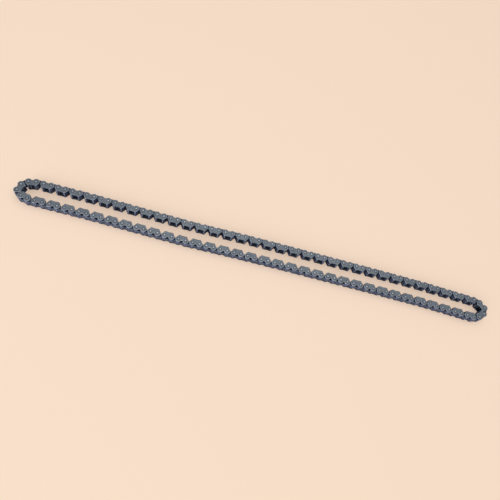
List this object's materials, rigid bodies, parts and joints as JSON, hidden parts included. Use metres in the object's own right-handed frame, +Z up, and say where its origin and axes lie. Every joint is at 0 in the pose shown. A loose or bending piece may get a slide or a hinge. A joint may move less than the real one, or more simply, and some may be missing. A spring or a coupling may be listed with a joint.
{
  "type": "inverted-tooth timing chain",
  "caption": "Endless inverted-tooth steel timing chain lying on its side in a long thin loop: toothed link plates on riveted pins between notched outer guide plates.",
  "frame": {"origin": "middle of the loop's bounding box, on the plane the lower pin heads rest on", "axes": "+X along the loop's long way, +Y across from the near run to the far run, +Z up along the pins"},
  "size_m": [0.4478, 0.0256, 0.0087],
  "materials": {
    "guide_plate": "blue-grey oiled steel, blanked edges lightly polished",
    "link_plate": "blue-grey oiled steel, darker between the plates",
    "pin": "bright peened heads"
  },
  "bodies": {
    "left_end": {"left_end_guides": "guide_plate", "left_end_plates": "link_plate", "left_end_pins": "pin"},
    "far_run_1": {"far_run_1_guides": "guide_plate", "far_run_1_plates": "link_plate", "far_run_1_pins": "pin"},
    "far_run_2": {"far_run_2_guides": "guide_plate", "far_run_2_plates": "link_plate", "far_run_2_pins": "pin"},
    "far_run_3": {"far_run_3_guides": "guide_plate", "far_run_3_plates": "link_plate", "far_run_3_pins": "pin"},
    "far_run_4": {"far_run_4_guides": "guide_plate", "far_run_4_plates": "link_plate", "far_run_4_pins": "pin"},
    "far_run_5": {"far_run_5_guides": "guide_plate", "far_run_5_plates": "link_plate", "far_run_5_pins": "pin"},
    "far_run_6": {"far_run_6_guides": "guide_plate", "far_run_6_plates": "link_plate", "far_run_6_pins": "pin"},
    "far_run_7": {"far_run_7_guides": "guide_plate", "far_run_7_plates": "link_plate", "far_run_7_pins": "pin"},
    "far_run_8": {"far_run_8_guides": "guide_plate", "far_run_8_plates": "link_plate", "far_run_8_pins": "pin"},
    "far_run_9": {"far_run_9_guides": "guide_plate", "far_run_9_plates": "link_plate", "far_run_9_pins": "pin"},
    "right_end": {"right_end_guides": "guide_plate", "right_end_plates": "link_plate", "right_end_pins": "pin"},
    "near_run_1": {"near_run_1_guides": "guide_plate", "near_run_1_plates": "link_plate", "near_run_1_pins": "pin"},
    "near_run_2": {"near_run_2_guides": "guide_plate", "near_run_2_plates": "link_plate", "near_run_2_pins": "pin"},
    "near_run_3": {"near_run_3_guides": "guide_plate", "near_run_3_plates": "link_plate", "near_run_3_pins": "pin"},
    "near_run_4": {"near_run_4_guides": "guide_plate", "near_run_4_plates": "link_plate", "near_run_4_pins": "pin"},
    "near_run_5": {"near_run_5_guides": "guide_plate", "near_run_5_plates": "link_plate", "near_run_5_pins": "pin"},
    "near_run_6": {"near_run_6_guides": "guide_plate", "near_run_6_plates": "link_plate", "near_run_6_pins": "pin"},
    "near_run_7": {"near_run_7_guides": "guide_plate", "near_run_7_plates": "link_plate", "near_run_7_pins": "pin"},
    "near_run_8": {"near_run_8_guides": "guide_plate", "near_run_8_plates": "link_plate", "near_run_8_pins": "pin"},
    "near_run_9": {"near_run_9_guides": "guide_plate", "near_run_9_plates": "link_plate", "near_run_9_pins": "pin"}
  },
  "joints": [
    {"name": "far_hinge_1", "type": "hinge", "parent": "left_end", "child": "far_run_1", "pos_m": [-0.20907, 0.00948, 0.00435], "axis": [0, 0, 1], "range_deg": [-15, 15]},
    {"name": "far_hinge_2", "type": "hinge", "parent": "far_run_1", "child": "far_run_2", "pos_m": [-0.15827, 0.00983, 0.00435], "axis": [0, 0, 1], "range_deg": [-15, 15]},
    {"name": "far_hinge_3", "type": "hinge", "parent": "far_run_2", "child": "far_run_3", "pos_m": [-0.10747, 0.00913, 0.00435], "axis": [0, 0, 1], "range_deg": [-15, 15]},
    {"name": "far_hinge_4", "type": "hinge", "parent": "far_run_3", "child": "far_run_4", "pos_m": [-0.06938, 0.00859, 0.00435], "axis": [0, 0, 1], "range_deg": [-15, 15]},
    {"name": "far_hinge_5", "type": "hinge", "parent": "far_run_4", "child": "far_run_5", "pos_m": [-0.01859, 0.00966, 0.00435], "axis": [0, 0, 1], "range_deg": [-15, 15]},
    {"name": "far_hinge_6", "type": "hinge", "parent": "far_run_5", "child": "far_run_6", "pos_m": [0.01951, 0.00992, 0.00435], "axis": [0, 0, 1], "range_deg": [-15, 15]},
    {"name": "far_hinge_7", "type": "hinge", "parent": "far_run_6", "child": "far_run_7", "pos_m": [0.07031, 0.00992, 0.00435], "axis": [0, 0, 1], "range_deg": [-15, 15]},
    {"name": "far_hinge_8", "type": "hinge", "parent": "far_run_7", "child": "far_run_8", "pos_m": [0.10841, 0.00992, 0.00435], "axis": [0, 0, 1], "range_deg": [-15, 15]},
    {"name": "far_hinge_9", "type": "hinge", "parent": "far_run_8", "child": "far_run_9", "pos_m": [0.15921, 0.00957, 0.00435], "axis": [0, 0, 1], "range_deg": [-15, 15]},
    {"name": "right_hinge", "type": "hinge", "parent": "far_run_9", "child": "right_end", "pos_m": [0.20998, 0.00771, 0.00435], "axis": [0, 0, 1], "range_deg": [-15, 15]},
    {"name": "near_hinge_1", "type": "hinge", "parent": "left_end", "child": "near_run_1", "pos_m": [-0.20998, -0.00815, 0.00435], "axis": [0, 0, 1], "range_deg": [-15, 15]},
    {"name": "near_hinge_2", "type": "hinge", "parent": "near_run_1", "child": "near_run_2", "pos_m": [-0.15918, -0.0078, 0.00435], "axis": [0, 0, 1], "range_deg": [-15, 15]},
    {"name": "near_hinge_3", "type": "hinge", "parent": "near_run_2", "child": "near_run_3", "pos_m": [-0.10838, -0.00851, 0.00435], "axis": [0, 0, 1], "range_deg": [-15, 15]},
    {"name": "near_hinge_4", "type": "hinge", "parent": "near_run_3", "child": "near_run_4", "pos_m": [-0.07029, -0.00904, 0.00435], "axis": [0, 0, 1], "range_deg": [-15, 15]},
    {"name": "near_hinge_5", "type": "hinge", "parent": "near_run_4", "child": "near_run_5", "pos_m": [-0.0195, -0.00797, 0.00435], "axis": [0, 0, 1], "range_deg": [-15, 15]},
    {"name": "near_hinge_6", "type": "hinge", "parent": "near_run_5", "child": "near_run_6", "pos_m": [0.0186, -0.00771, 0.00435], "axis": [0, 0, 1], "range_deg": [-15, 15]},
    {"name": "near_hinge_7", "type": "hinge", "parent": "near_run_6", "child": "near_run_7", "pos_m": [0.0694, -0.00771, 0.00435], "axis": [0, 0, 1], "range_deg": [-15, 15]},
    {"name": "near_hinge_8", "type": "hinge", "parent": "near_run_7", "child": "near_run_8", "pos_m": [0.1075, -0.00771, 0.00435], "axis": [0, 0, 1], "range_deg": [-15, 15]},
    {"name": "near_hinge_9", "type": "hinge", "parent": "near_run_8", "child": "near_run_9", "pos_m": [0.1583, -0.00806, 0.00435], "axis": [0, 0, 1], "range_deg": [-15, 15]}
  ],
  "couplings": [
    {"joint": "right_hinge", "follows": "far_hinge_1", "ratio": -1},
    {"joint": "near_hinge_1", "follows": "far_hinge_1", "ratio": 1},
    {"joint": "far_hinge_4", "follows": "far_hinge_2", "ratio": -1},
    {"joint": "near_hinge_2", "follows": "far_hinge_2", "ratio": 1},
    {"joint": "near_hinge_4", "follows": "far_hinge_2", "ratio": -1},
    {"joint": "far_hinge_5", "follows": "far_hinge_3", "ratio": -1},
    {"joint": "near_hinge_3", "follows": "far_hinge_3", "ratio": 1},
    {"joint": "near_hinge_5", "follows": "far_hinge_3", "ratio": -1},
    {"joint": "far_hinge_8", "follows": "far_hinge_6", "ratio": -1},
    {"joint": "near_hinge_6", "follows": "far_hinge_6", "ratio": 1},
    {"joint": "near_hinge_8", "follows": "far_hinge_6", "ratio": -1},
    {"joint": "far_hinge_9", "follows": "far_hinge_7", "ratio": -1},
    {"joint": "near_hinge_7", "follows": "far_hinge_7", "ratio": 1},
    {"joint": "near_hinge_9", "follows": "far_hinge_7", "ratio": -1}
  ]
}
